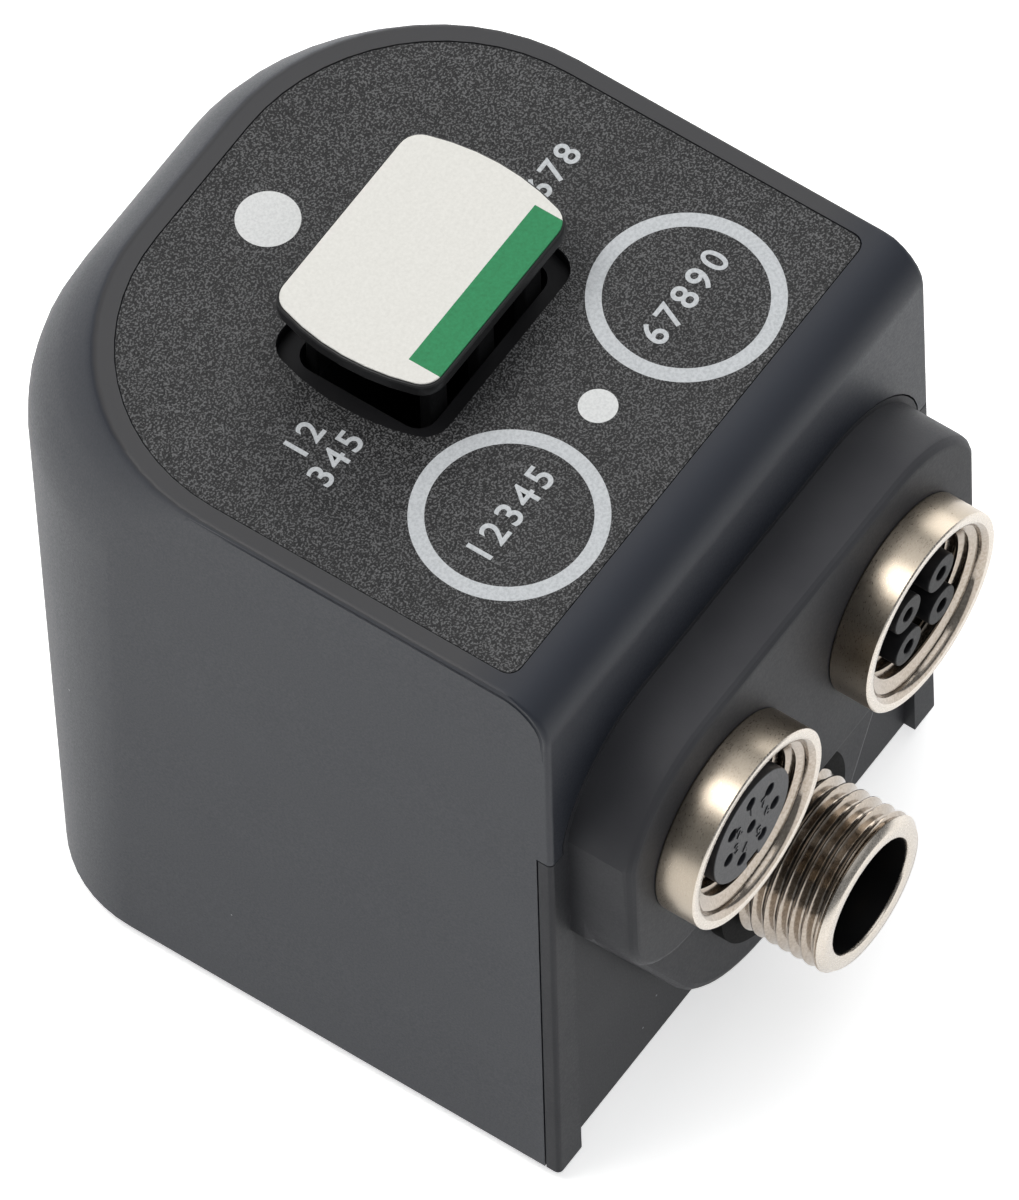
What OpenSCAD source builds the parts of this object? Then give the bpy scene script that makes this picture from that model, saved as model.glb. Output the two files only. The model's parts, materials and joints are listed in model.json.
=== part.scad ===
// Compact vibration monitor: two touch keys on top, three round connectors in front,
// one bolt down through its middle. The origin is the bolt's axis on the mounting surface,
// +Z is up and the connectors face -Y.

/* [Body] */
// Width of the body at its rim
body_w = 43.6; // [43:0.2:50]
// Height of the top rim above the mounting surface
body_h = 57; // [56:0.5:66]
// Distance from the bolt's axis to the rear edge of the rim
rear_reach = 19; // [18:0.5:26]
// Distance from the bolt's axis to the front wall
front_reach = 24.9; // [24.5:0.1:32]
// Radius of the rim's two rear corners in plan
rear_r = 16.5; // [14:0.1:18]
// How far the rear wall swells out behind the rim
swell = 5.2; // [3:0.1:6]
// Height over which the rear wall swells out
swell_h = 11.4; // [9:0.1:14]
// Radius of the rear corners at the swell
swell_r = 15.4; // [12:0.1:17]
// Distance from the bolt's axis to the rear wall at the bottom
foot_reach = 20.2; // [18:0.1:23]
// Radius of the rear corners at the bottom
foot_corner_r = 10; // [8:0.2:14]
// Radius of the two front corners in plan
corner_r = 0.4; // [0.3:0.1:1]
// Rounding along the top front edge
front_edge_r = 3.7; // [3:0.1:4.2]
// Rounding along the top side and rear edges
side_edge_r = 0.3; // [0.2:0.1:0.8]
// How far each side wall flares out towards the bottom
flare = 0.6; // [0.2:0.1:1]
// Wall of the plastic housing
wall = 2; // [1.6:0.1:2.4]
// Gap between the plastic body and the mounting surface
lift = 1; // [0.5:0.1:1.6]

/* [Keypad] */
// Thickness of the keypad foil
foil_t = 0.35; // [0.25:0.05:0.6]
// Width of the rim of the body beside the foil
rim_w = 1.4; // [1.3:0.1:2.2]
// Depth of the foil's face below the rim
foil_drop = 0.05; // [0:0.05:0.2]
// Width of a key's light ring
ring_w = 1.1; // [0.6:0.1:1.6]
// Distance of a key's centre from the side of the rim
key_side = 11.6; // [11:0.1:12.5]
// Distance of the light rings from the foil's front edge
key_margin = 0.65; // [0.5:0.05:1]
// Distance of the light rings from the cap's seat
ring_gap = 0.55; // [0.4:0.05:0.8]
// Radius of the large lamp window at the rear
status_r = 2.2; // [1.5:0.1:2.8]
// Distance of the large lamp window behind the bolt
status_y = 12.4; // [11.5:0.1:14]
// Radius of the small lamp window between the keys
link_r = 1.33; // [0.8:0.01:1.8]
// Depth of the windows let into the foil
window_t = 0.1; // [0.05:0.05:0.2]

/* [Cap] */
// Length of the cap along X
cap_w = 18.4; // [17:0.2:20]
// Width of the cap along Y
cap_d = 13; // [12:0.2:14]
// Thickness of the cap's plate
cap_t = 1.1; // [0.8:0.1:1.5]
// Radius of the cap's bowed ends
cap_bow_r = 17.3; // [13:0.1:30]
// Radius of the cap's corners
cap_corner_r = 1.8; // [1:0.1:2.5]
// Height that the cap stands above its seat
cap_lift = 5.7; // [2:0.1:6]
// Length of the cap's legs
leg_l = 8.4; // [7:0.1:10]
// Thickness of the cap's label
label_t = 0.15; // [0.1:0.05:0.3]

/* [Bolt well] */
// Length of the well under the cap
well_w = 15.2; // [14:0.2:16]
// Width of the well under the cap
well_d = 10.6; // [10.2:0.2:11.2]
// Height of the well's floor, where the bolt's head bears
well_z = 34; // [28:0.5:38]
// Radius of the bolt's clearance hole
bolt_r = 3.3; // [2.7:0.05:3.5]
// Radius of the metal sleeve's shank
sleeve_r = 4.9; // [4.4:0.1:5]
// Radius of the metal foot
foot_r = 12.5; // [10:0.1:13]
// Thickness of the metal foot
foot_t = 4; // [3:0.1:5]

/* [Connector block] */
// Width of the raised block
block_w = 40.2; // [38:0.2:42]
// Height of the raised block
block_h = 23; // [21:0.5:25]
// How far the block's face stands in front of the body
block_out = 5.1; // [4:0.1:8]
// Radius of the block's upper corners
block_top_r = 9.4; // [6:0.1:10]
// Radius of the block's lower corners
block_low_r = 7; // [5:0.1:9]
// Rounding along the edge of the block's face
block_edge_r = 0.8; // [0.3:0.1:1.2]
// How far the boss under the block stands in front of the body
boss_out = 1.9; // [1:0.1:3]
// Radius of the boss round the plug
boss_r = 11.7; // [10:0.1:12.5]
// Depth of the lower front panel behind the corner strips
panel_drop = 0.9; // [0.4:0.1:1.2]
// Width of the corner strips beside the lower front panel
strip_w = 2; // [1.4:0.1:3]
// Thickness of the front plate, whose edge shows beside the housing
plate_t = 1.2; // [1:0.1:1.6]
// Height at which the seam turns from the sides to the front
seam_z = 39; // [37:0.5:41]
// Width of the visible seam
seam_gap = 0.12; // [0.05:0.01:0.2]

/* [Connectors] */
// Distance of a socket's axis from the middle
socket_x = 10.14; // [9.4:0.02:11]
// Height of the socket axes
socket_z = 35.3; // [34:0.1:36.5]
// Outer radius of a socket's barrel
socket_r = 7.5; // [7:0.05:7.8]
// Radius of a socket's thread hole
socket_thread_r = 5.6; // [5.3:0.05:5.8]
// Radius of a socket's mouth
mouth_r = 6.75; // [6.3:0.05:7]
// Length of a socket's barrel
socket_out = 3.1; // [2:0.1:6]
// Radius of a socket's contact carrier
carrier_r = 4.35; // [4:0.05:4.5]
// Height of the plug's axis
plug_z = 15.1; // [14:0.1:16]
// Outer radius of the plug's thread
plug_r = 6; // [6:0.05:6.1]
// Inner radius of the plug
plug_in_r = 4.4; // [4.2:0.05:4.7]
// Length of the plug in front of its boss
plug_out = 8.2; // [6:0.1:12]
// Radius of the circle of contacts
contact_pcr = 2.75; // [2.5:0.05:2.9]
// Radius of a contact pin
pin_r = 0.4; // [0.3:0.05:0.5]
// Outer radius of the plug's sealing ring
seal_r = 7.3; // [6.8:0.1:8]
// Thickness of the plug's sealing ring
seal_t = 1.1; // [0.6:0.1:1.6]

/* [Inside] */
// Thickness of the circuit boards
board_t = 1.2; // [0.8:0.1:1.6]
// Clearance round the circuit boards
board_gap = 0.3; // [0.2:0.05:0.5]
// Height of the main board's underside
main_z = 25; // [22:0.5:26]

/* [Hidden] */
$fn = 72;
eps = 0.01;
thin = 0.02;
half_w = body_w / 2;
rear_c = rear_reach - rear_r;
belly_z = body_h - swell_h;
swell_start = 60;
swell_steps = 4;
foil_z = body_h - foil_drop;
roof_z = foil_z - foil_t - wall;
rear_steps = 14;
corner_steps = 5;
edge_steps = 7;

// Overrun of a cut past the face that it opens
over = 1;

// Keypad. The light rings fill the room between the cap's seat and the foil's front edge.
foil_gap = 0.08;
foil_corner_r = 1;
foil_seat_z = foil_z - foil_t;
cap_gap = 0.2;
foil_front = front_reach - front_edge_r;
key_x = half_w - key_side;
ring_r = (foil_front - cap_d / 2 - cap_gap - key_margin - ring_gap) / 2;
key_y = foil_front - key_margin - ring_r;

// Cap and its seat
cap_bed = 0.1;
cap_seat_z = foil_z - cap_t - cap_bed;
cap_z = cap_seat_z + cap_lift;
cap_phi = asin((cap_d / 2 - cap_corner_r) / (cap_bow_r - cap_corner_r));
cap_corner = [
    cap_w / 2 - cap_bow_r + (cap_bow_r - cap_corner_r) * cos(cap_phi),
    cap_d / 2 - cap_corner_r
];
label_inset = 0.2;
leg_t = 1;
leg_gap = 0.25;
hook_w = 1.9;
hook_out = 0.15;
skirt_h = 2.4;
leg_inset = 1;
barb = [1, 1.3, 1.8];
well_corner_r = 1.4;
well_wall = 1.5;
shank_seal = 1.4;

// Front plate
block_half = block_w / 2;
block_low = socket_z - block_h / 2;
block_high = socket_z + block_h / 2;
block_y = front_reach + block_out;
boss_y = front_reach + boss_out;
arch_gap = 0.6;
block_flat = 0.4;
boss_band = 2;
plate_in = front_reach - plate_t;
panel_half = half_w - strip_w;
base_gap = 0.25;

// Connectors, as distances in front of the bolt's axis
socket_front = block_y + socket_out;
barrel_root = 4;
carrier_flange = 1.4;
contact_depth = 3;
socket_back = block_y - barrel_root;
neck_r = 6.4;
rim_bevel = 0.15;
mouth_depth = 0.6;
carrier_recess = 0.5;
carrier_back = socket_back - carrier_flange;
socket_hole_r = 0.5;
key_w = 1.3;
key_depth = 0.7;
lobe_r = 1.5;
lobe_l = 2.2;
lobe_hole_r = 0.55;
plug_front = boss_y + plug_out;
plug_collar = 1;
plug_back = boss_y - wall - plug_collar;
plug_shoulder = 0.5;
plug_neck_r = plug_r - plug_shoulder;
plug_bevel = 0.5;
plug_depth = 5.5;
plug_floor = plug_front - plug_depth;
pin_tip = 2.6;
contact_angles = [for (k = [0:6]) 90 + k * 360 / 7];

// Boards and what stands on them
board_front = front_reach - wall;
board_back = board_front - board_t;
post_r = 1.8;
post_side = 4.2;
post_rear = 3.9;
post_x = half_w - wall - post_side;
post_ys = [post_r + board_gap + wall - board_back, rear_c + post_rear];
board_w = body_w - 2 * (wall + corner_r + board_gap);
link_size = [12, 4, 4];
sensor_size = [6.4, 6.4, 2.6];

function arc(c, r, a0, a1, n) = [
    for (i = [0:n]) c + r * [cos(a0 + (a1 - a0) * i / n), sin(a0 + (a1 - a0) * i / n)]
];

// Share of the swell that is reached at depth h below the rim, along a round shoulder
function swell_part(h) = h >= swell_h ? 1 : let (
    lean = acos(cos(swell_start) * (1 - h / swell_h))
) (sin(lean) - sin(swell_start)) / (1 - sin(swell_start));

// Half width, rear reach and rear corner radius of the body at height z
function body_level(z) = let (
    s = swell_part(body_h - z),
    t = max(0, (belly_z - z) / (belly_z - lift))
) [
    half_w + flare * (body_h - z) / (body_h - lift),
    rear_reach + swell * s + (foot_reach - rear_reach - swell) * t,
    rear_r + (swell_r - rear_r) * s + (foot_corner_r - swell_r) * t
];

// Outline of the body at height z: two wide rear corners and two tight front ones
function plan_points(z, side, front, corner) = let (
    p = body_level(z),
    c = [p[0] - p[2], p[1] - p[2]]
) concat(
    arc(c, p[2] - side, 0, 90, rear_steps),
    arc([-c.x, c.y], p[2] - side, 90, 180, rear_steps),
    arc([side + corner - p[0], front + corner - front_reach], corner, 180, 270, corner_steps),
    arc([p[0] - side - corner, front + corner - front_reach], corner, 270, 360, corner_steps)
);

// Outline of the cap: straight long sides and bowed ends
function cap_points(grow) = concat(
    arc([cap_w / 2 - cap_bow_r, 0], cap_bow_r + grow, -cap_phi, cap_phi, 6),
    arc(cap_corner, cap_corner_r + grow, cap_phi, 90, 6),
    arc([-cap_corner.x, cap_corner.y], cap_corner_r + grow, 90, 180 - cap_phi, 6),
    arc([cap_bow_r - cap_w / 2, 0], cap_bow_r + grow, 180 - cap_phi, 180 + cap_phi, 6),
    arc([-cap_corner.x, -cap_corner.y], cap_corner_r + grow, 180 + cap_phi, 270, 6),
    arc([cap_corner.x, -cap_corner.y], cap_corner_r + grow, 270, 360 - cap_phi, 6)
);

function rounded_points(w, d, r) = concat(
    arc([w / 2 - r, d / 2 - r], r, 0, 90, corner_steps),
    arc([r - w / 2, d / 2 - r], r, 90, 180, corner_steps),
    arc([r - w / 2, r - d / 2], r, 180, 270, corner_steps),
    arc([w / 2 - r, r - d / 2], r, 270, 360, corner_steps)
);

// Outline of the raised block seen from the front. The upper arcs run a little past
// the flat sides, so that a crease shows where they meet.
function block_points(grow) = let (
    top_x = block_half + block_flat - block_top_r,
    top_z = block_high - block_top_r,
    low_x = block_half - block_low_r,
    low_z = block_low + block_low_r
) [
    for (p = concat(
        arc([top_x, top_z], block_top_r + grow, 0, 90, 12),
        arc([-top_x, top_z], block_top_r + grow, 90, 180, 12),
        arc([-low_x, low_z], block_low_r + grow, 180, 270, 10),
        arc([low_x, low_z], block_low_r + grow, 270, 360, 10)
    )) [max(-block_half - grow, min(block_half + grow, p.x)), p.y]
];

// Inset of a rounded edge of radius r at height h below its top
function edge_inset(r, h) = h >= r ? 0 : r - sqrt(r * r - (r - h) * (r - h));

module plan_slice(z, side, front) {
    translate([0, 0, z - eps]) linear_extrude(eps) polygon(plan_points(z, side, front, corner_r));
}

// Turns a shape drawn along +Z so that it runs towards the front from the bolt's axis
module forward(x, z) {
    translate([x, 0, z]) rotate([90, 0, 0]) children();
}

module slab(from, to) {
    translate([0, 0, from]) linear_extrude(to - from) children();
}

module outer_body() {
    hull() {
        plan_slice(lift + eps, 0, 0);
        for (k = [0:swell_steps - 1]) {
            plan_slice(belly_z + (swell_h - front_edge_r) * k / swell_steps, 0, 0);
        }
        for (k = [0:edge_steps]) {
            h = front_edge_r * (1 - sin(90 * k / edge_steps));
            plan_slice(body_h - h, edge_inset(side_edge_r, h), edge_inset(front_edge_r, h));
        }
    }
}

module inner_body() {
    hull() {
        for (z = [lift, belly_z, roof_z]) {
            plan_slice(z, wall, wall);
        }
    }
}

// Space of the front plate: the lower front and an arch over the block
module front_space(gap) {
    translate([-body_w, -2 * front_reach, 0]) {
        cube([2 * body_w, front_reach + plate_t - gap, seam_z - gap]);
    }
    forward(0, 0) slab(plate_in, 2 * front_reach) polygon(block_points(arch_gap - gap));
}

// Opening in the housing behind the front plate
module front_opening() {
    side = half_w + flare - wall;
    translate([-side, -front_reach, 0]) cube([2 * side, wall + over, seam_z]);
    forward(0, 0) slab(board_front - over, front_reach) polygon(block_points(-wall));
}

module well_space(from, to, grow) {
    slab(from, to) polygon(rounded_points(well_w + 2 * grow, well_d + 2 * grow, well_corner_r + grow));
}

module posts(r, from, to) {
    for (s = [-1, 1], y = post_ys) {
        translate([s * post_x, y, from]) cylinder(r = r, h = to - from);
    }
}

module housing() {
    color("#303236") {
        difference() {
            outer_body();
            difference() {
                inner_body();
                well_space(well_z - wall, body_h, well_wall);
                posts(post_r, main_z + board_t, body_h);
            }
            front_space(0);
            front_opening();
            slab(foil_seat_z, body_h + over) polygon(
                plan_points(body_h, rim_w - foil_gap, front_edge_r - foil_gap, foil_corner_r)
            );
            slab(cap_seat_z, body_h + over) polygon(cap_points(cap_gap));
            well_space(well_z, body_h, 0);
            translate([0, 0, lift]) cylinder(r = sleeve_r, h = body_h);
            translate([0, status_y, roof_z - over]) cylinder(r = status_r, h = wall + 2 * over);
            translate([0, -key_y, roof_z - over]) cylinder(r = link_r, h = wall + 2 * over);
        }
    }
}

module block_hull(from, to, edge) {
    hull() {
        forward(0, 0) slab(from, to - edge) polygon(block_points(0));
        for (k = [1:4]) {
            h = edge * (1 - sin(90 * k / 4));
            forward(0, 0) slab(to - h - thin, to - h) polygon(block_points(-edge_inset(edge, h)));
        }
    }
}

module boss_section(grow) {
    translate([0, plug_z]) circle(r = boss_r + grow);
    translate([-block_half - grow, block_low + block_low_r - boss_band]) {
        square([block_w + 2 * grow, boss_band]);
    }
}

module boss_hull(from, to, edge) {
    hull() {
        forward(0, 0) slab(from, to - edge) boss_section(0);
        for (k = [1:3]) {
            h = edge * (1 - sin(90 * k / 3));
            forward(0, 0) slab(to - h - thin, to - h) boss_section(-edge_inset(edge, h));
        }
    }
}

module front_plate() {
    color("#2b2c30") {
        difference() {
            union() {
                difference() {
                    intersection() {
                        outer_body();
                        front_space(seam_gap);
                    }
                    translate([-panel_half, -front_reach - over, 0]) {
                        cube([2 * panel_half, over + panel_drop, block_low + block_low_r]);
                    }
                }
                block_hull(plate_in, block_y, block_edge_r);
                boss_hull(plate_in, boss_y, block_edge_r);
            }
            forward(0, 0) slab(plate_in - over, block_y - wall) polygon(block_points(-wall));
            forward(0, 0) slab(plate_in - over, boss_y - wall) hull() boss_section(-wall);
            for (s = [-1, 1]) {
                forward(s * socket_x, socket_z) slab(plate_in, block_y + over) circle(r = neck_r);
            }
            forward(0, plug_z) slab(plate_in, boss_y + over) circle(r = plug_neck_r);
        }
    }
}

module base_plate() {
    color("#2b2c30") {
        difference() {
            translate([0, 0, lift]) linear_extrude(wall) polygon(
                plan_points(lift, wall + base_gap, plate_t + base_gap, corner_r)
            );
            translate([0, 0, lift - over]) cylinder(r = foot_r, h = wall + 2 * over);
        }
    }
}

module mounting_sleeve() {
    color("#b9bcc0") rotate_extrude() polygon([
        [bolt_r, 0], [foot_r, 0], [foot_r, foot_t], [sleeve_r, foot_t], [sleeve_r, well_z], [bolt_r, well_z]
    ]);
}

module sleeve_seal() {
    color("#1c1c1d") translate([0, 0, well_z - wall - shank_seal]) difference() {
        cylinder(r = sleeve_r + shank_seal, h = shank_seal);
        translate([0, 0, -over]) cylinder(r = sleeve_r, h = shank_seal + 2 * over);
    }
}

module keypad_foil() {
    color("#27282a") difference() {
        slab(foil_seat_z, foil_z) polygon(plan_points(body_h, rim_w, front_edge_r, foil_corner_r));
        slab(foil_seat_z - over, foil_z + over) polygon(cap_points(cap_gap));
        for (s = [-1, 1]) {
            key_ring(s, over);
        }
        lamp_window(status_y, status_r, over);
        lamp_window(-key_y, link_r, over);
    }
}

module key_ring(side, above) {
    translate([side * key_x, -key_y, foil_z - window_t]) difference() {
        cylinder(r = ring_r, h = window_t + above);
        translate([0, 0, -over]) cylinder(r = ring_r - ring_w, h = window_t + above + 2 * over);
    }
}

module lamp_window(y, r, above) {
    translate([0, y, foil_z - window_t]) cylinder(r = r, h = window_t + above);
}

module light_guide(y, r) {
    translate([0, y, roof_z]) cylinder(r = r, h = foil_seat_z - roof_z);
}

module touch_board() {
    color("#2f5a3a") difference() {
        slab(roof_z - board_t, roof_z) polygon(
            plan_points(body_h, wall + board_gap, wall + board_gap, corner_r)
        );
        well_space(roof_z - board_t - over, roof_z + over, well_wall + board_gap);
        posts(post_r + board_gap, roof_z - board_t - over, roof_z + over);
    }
}

module main_board() {
    inset = wall + board_gap;
    color("#2f5a3a") difference() {
        slab(main_z, main_z + board_t) polygon(plan_points(main_z, inset, inset + board_t, corner_r));
        translate([0, 0, main_z - over]) cylinder(r = sleeve_r + board_gap, h = board_t + 2 * over);
    }
}

module connector_board() {
    base = lift + wall;
    color("#2f5a3a") translate([-board_w / 2, -board_front, base]) {
        cube([board_w, board_t, roof_z - board_t - base]);
    }
}

module board_link() {
    color("#d8d2c0") translate([-link_size.x / 2, -board_back, main_z + board_t]) cube(link_size);
}

module sensor_element() {
    middle_y = (sleeve_r + foot_r) / 2;
    color("#9a9da1") translate([-sensor_size.x / 2, middle_y - sensor_size.y / 2, foot_t]) {
        cube(sensor_size);
    }
}

// Legs reach down into the well. The long skirts carry the hooks.
module cap() {
    leg_x = well_w / 2 - leg_gap;
    leg_y = well_d / 2 - leg_gap;
    color("#1f2022") {
        slab(cap_z, cap_z + cap_t) polygon(cap_points(0));
        for (s = [-1, 1]) {
            translate([leg_inset - leg_x, s > 0 ? leg_y - leg_t : -leg_y, cap_z - skirt_h]) {
                cube([2 * (leg_x - leg_inset), leg_t, skirt_h + eps]);
            }
            for (t = [-1, 0, 1]) {
                translate([t * (leg_x - leg_inset - hook_w / 2) - hook_w / 2, 0, cap_z - leg_l]) {
                    hook(s, leg_y);
                }
            }
        }
    }
}

// One leg of the cap with a small barb near its tip
module hook(side, reach) {
    rotate([90, 0, 90]) linear_extrude(hook_w) polygon([
        [side * (reach - leg_t), 0],
        [side * (reach - leg_t * 0.4), 0],
        [side * (reach + hook_out), barb[0]],
        [side * (reach + hook_out), barb[1]],
        [side * reach, barb[2]],
        [side * reach, leg_l + eps],
        [side * (reach - leg_t), leg_l + eps]
    ]);
}

module cap_label() {
    color("#eeeee8") slab(cap_z + cap_t, cap_z + cap_t + label_t) polygon(cap_points(-label_inset));
}

module socket_shell(side) {
    forward(side * socket_x, socket_z) rotate_extrude() polygon([
        [socket_thread_r, socket_back],
        [neck_r, socket_back],
        [neck_r, block_y],
        [socket_r, block_y],
        [socket_r, socket_front - rim_bevel],
        [socket_r - rim_bevel, socket_front],
        [mouth_r, socket_front],
        [socket_thread_r, socket_front - mouth_depth]
    ]);
}

module disc(r, from, to) {
    translate([0, 0, from]) cylinder(r = r, h = to - from);
}

module socket_contacts_left() {
    color("#c8a24a") forward(-socket_x, socket_z) {
        round_contacts(pin_r, board_front, socket_front - contact_depth);
    }
}

module socket_contacts_right() {
    color("#c8a24a") forward(socket_x, socket_z) {
        square_contacts(pin_r, board_front, socket_front - contact_depth);
    }
}

module round_contacts(r, from, to) {
    translate([0, 0, from]) cylinder(r = r, h = to - from);
    for (a = contact_angles) {
        translate([contact_pcr * cos(a), contact_pcr * sin(a), from]) cylinder(r = r, h = to - from);
    }
}

module square_contacts(r, from, to) {
    for (a = [45:90:315]) {
        translate([contact_pcr * cos(a), contact_pcr * sin(a), from]) cylinder(r = r, h = to - from);
    }
}

module socket_insert_left() {
    face = socket_front - carrier_recess;
    color("#26272b") forward(-socket_x, socket_z) difference() {
        union() {
            disc(socket_thread_r, carrier_back, socket_back);
            disc(carrier_r, socket_back - eps, face);
        }
        translate([-key_w / 2, -carrier_r - over, socket_back]) cube([key_w, key_depth + over, face]);
        round_contacts(socket_hole_r, carrier_back - over, face + over);
    }
}

// The contacts of this insert stand in four separate lobes
module socket_insert_right() {
    face = socket_front - carrier_recess;
    color("#26272b") forward(socket_x, socket_z) difference() {
        union() {
            disc(socket_thread_r, carrier_back, socket_back);
            disc(carrier_r, socket_back - eps, face - lobe_l);
            intersection() {
                disc(carrier_r, face - lobe_l - eps, face);
                square_contacts(lobe_r, face - lobe_l - eps, face);
            }
        }
        square_contacts(lobe_hole_r, carrier_back - over, face + over);
    }
}

module plug_shell() {
    color("#8d8983") forward(0, plug_z) rotate_extrude() polygon([
        [plug_in_r, plug_back],
        [plug_neck_r, plug_back],
        [plug_neck_r, boss_y + seal_t],
        [plug_r, boss_y + seal_t],
        [plug_r, plug_front - plug_bevel],
        [plug_r - plug_bevel, plug_front],
        [plug_in_r, plug_front]
    ]);
}

module plug_insert() {
    color("#1f2023") forward(0, plug_z) difference() {
        disc(plug_in_r, plug_back, plug_floor);
        round_contacts(pin_r, plug_back - over, plug_floor + over);
    }
}

module plug_seal() {
    color("#171718") forward(0, plug_z) translate([0, 0, boss_y]) difference() {
        cylinder(r = seal_r, h = seal_t);
        translate([0, 0, -over]) cylinder(r = plug_neck_r, h = seal_t + 2 * over);
    }
}

housing();
front_plate();
base_plate();
mounting_sleeve();
sleeve_seal();
keypad_foil();
color("#c9ccce") key_ring(-1, 0);  // key_ring_left
color("#c9ccce") key_ring(1, 0);  // key_ring_right
color("#dfe1e4") lamp_window(status_y, status_r, 0);  // status_window
color("#dfe1e4") lamp_window(-key_y, link_r, 0);  // link_window
color("#e6e8ea") light_guide(status_y, status_r);  // status_light_guide
color("#e6e8ea") light_guide(-key_y, link_r);  // link_light_guide
touch_board();
main_board();
connector_board();
board_link();
sensor_element();
cap();
cap_label();
color("#b5ada0") socket_shell(-1);  // socket_shell_left
color("#b5ada0") socket_shell(1);  // socket_shell_right
socket_insert_left();
socket_insert_right();
socket_contacts_left();
socket_contacts_right();
plug_shell();
plug_insert();
union() {  // plug_pins
    color("#c8a24a") forward(0, plug_z) round_contacts(pin_r, board_front, plug_front - pin_tip);
}
plug_seal();
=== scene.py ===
import json
import math

import bpy
from mathutils import Matrix, Vector

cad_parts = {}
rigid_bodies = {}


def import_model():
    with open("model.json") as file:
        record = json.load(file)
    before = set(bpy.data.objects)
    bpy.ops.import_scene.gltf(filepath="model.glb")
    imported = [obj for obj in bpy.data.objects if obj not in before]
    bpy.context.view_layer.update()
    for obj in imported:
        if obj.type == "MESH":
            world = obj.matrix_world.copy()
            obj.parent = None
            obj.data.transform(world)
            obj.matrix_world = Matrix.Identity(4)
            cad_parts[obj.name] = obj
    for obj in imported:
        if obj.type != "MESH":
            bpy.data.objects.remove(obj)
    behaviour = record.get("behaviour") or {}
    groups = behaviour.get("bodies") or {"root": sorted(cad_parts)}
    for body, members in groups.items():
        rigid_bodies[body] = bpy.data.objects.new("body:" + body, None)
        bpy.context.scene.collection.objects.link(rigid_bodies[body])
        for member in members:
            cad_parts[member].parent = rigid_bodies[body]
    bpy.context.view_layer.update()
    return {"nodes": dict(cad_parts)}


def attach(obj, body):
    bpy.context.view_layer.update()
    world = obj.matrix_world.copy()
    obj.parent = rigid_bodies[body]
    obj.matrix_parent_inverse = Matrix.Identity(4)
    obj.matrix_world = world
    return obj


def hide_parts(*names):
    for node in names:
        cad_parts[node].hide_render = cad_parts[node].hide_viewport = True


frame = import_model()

mm = 0.001
nodes = frame["nodes"]


# Places of the CAD nodes, in millimetres

def edgeOf(node, axis, side):  # side is min or max
    return round(side(corner["xyz".index(axis)] for corner in nodes[node].bound_box) / mm, 2)


def middleOf(node, axis):
    ends = [corner["xyz".index(axis)] for corner in nodes[node].bound_box]
    return round((min(ends) + max(ends)) / 2 / mm, 2)


# Tools for the workbench

bench = {
    "merge": 0.002,         # mm, points closer than this become one
    "latheMerge": 0.004,
    "flat": 0.5,            # degrees, faces nearer than this to one plane are joined
    "smooth": 48,           # degrees, sharper edges stay sharp in the shading
    "crease": 32,           # degrees, sharper edges get a moulded radius
}


def deselectAll():
    for item in bpy.context.view_layer.objects:
        item.select_set(False)


def activate(piece):
    deselectAll()
    piece.select_set(True)
    bpy.context.view_layer.objects.active = piece


def editMode(piece, action="SELECT"):
    activate(piece)
    bpy.ops.object.mode_set(mode="EDIT")
    bpy.ops.mesh.select_mode(type="VERT")
    bpy.ops.mesh.select_all(action=action)


def objectMode():
    bpy.ops.object.mode_set(mode="OBJECT")


def addModifier(piece, kind, **settings):
    modifier = piece.modifiers.new(kind.title(), kind)
    for key, value in settings.items():
        setattr(modifier, key, value)


def applyModifiers(piece):
    activate(piece)
    for modifier in list(piece.modifiers):
        bpy.ops.object.modifier_apply(modifier=modifier.name)


def shadeSmooth(piece):
    activate(piece)
    bpy.ops.object.shade_smooth_by_angle(angle=math.radians(bench["smooth"]))
    addModifier(piece, "WEIGHTED_NORMAL", keep_sharp=True, weight=50)
    applyModifiers(piece)


# a fine moulded radius on every sharp edge
def softenEdges(piece, width, angle=bench["crease"], segments=2):
    addModifier(piece, "BEVEL", width=width * mm, segments=segments, limit_method="ANGLE",
                angle_limit=math.radians(angle), use_clamp_overlap=True)
    applyModifiers(piece)
    shadeSmooth(piece)


# the CAD mesh is loose triangles, so its copy is merged into clean faces
def copyOfNode(node, name):
    piece = nodes[node].copy()
    piece.data = nodes[node].data.copy()
    piece.name = piece.data.name = name
    piece.parent = None
    piece.matrix_world = Matrix.Identity(4)
    bpy.context.scene.collection.objects.link(piece)
    activate(piece)
    bpy.ops.mesh.customdata_custom_splitnormals_clear()
    editMode(piece)
    bpy.ops.mesh.remove_doubles(threshold=bench["merge"] * mm)
    bpy.ops.mesh.dissolve_limited(angle_limit=math.radians(bench["flat"]))
    objectMode()
    return piece


def seat(piece, material, body="monitor", stands=()):
    piece.data.materials.clear()
    piece.data.materials.append(material)
    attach(piece, body)
    if stands:
        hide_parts(*stands)


def towardsFront(x, z):  # local +Z becomes the way out of the front, as the connectors point
    return Matrix.Translation((x * mm, 0, z * mm)) @ Matrix.Rotation(math.radians(90), 4, "X")


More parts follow.
